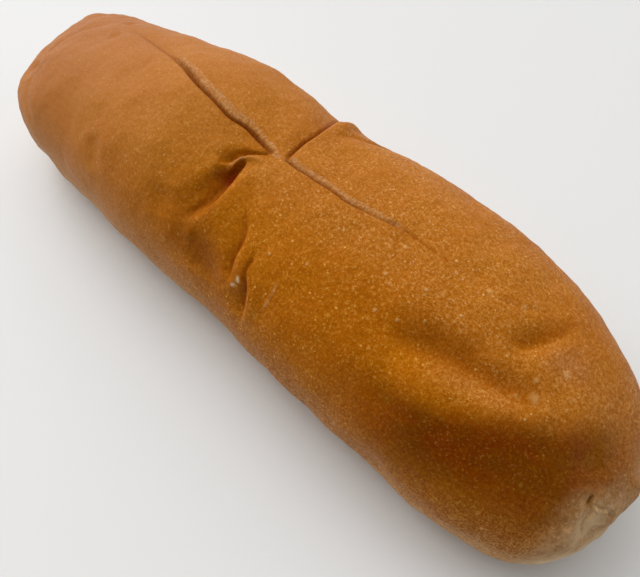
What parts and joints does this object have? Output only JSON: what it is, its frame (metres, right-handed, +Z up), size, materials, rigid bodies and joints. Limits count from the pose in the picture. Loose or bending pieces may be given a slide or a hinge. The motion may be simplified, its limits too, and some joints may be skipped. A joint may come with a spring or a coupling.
{
  "type": "hoagie roll",
  "caption": "Long soft bread roll with a torn score along its crest, creases at mid-length and a pinched end; it lies on its flat base.",
  "frame": {"origin": "middle of the roll's bounding box, on the surface that its base rests on", "axes": "+X along the roll towards its pinched end, +Z up through the scored crest, +Y across it"},
  "size_m": [0.2302, 0.0738, 0.0519],
  "materials": {
    "crust": "satin golden-brown soft crust with fine pale blisters, a pale torn strip along the score and a paler underside"
  },
  "bodies": {
    "root": {"roll": "crust"}
  },
  "joints": []
}
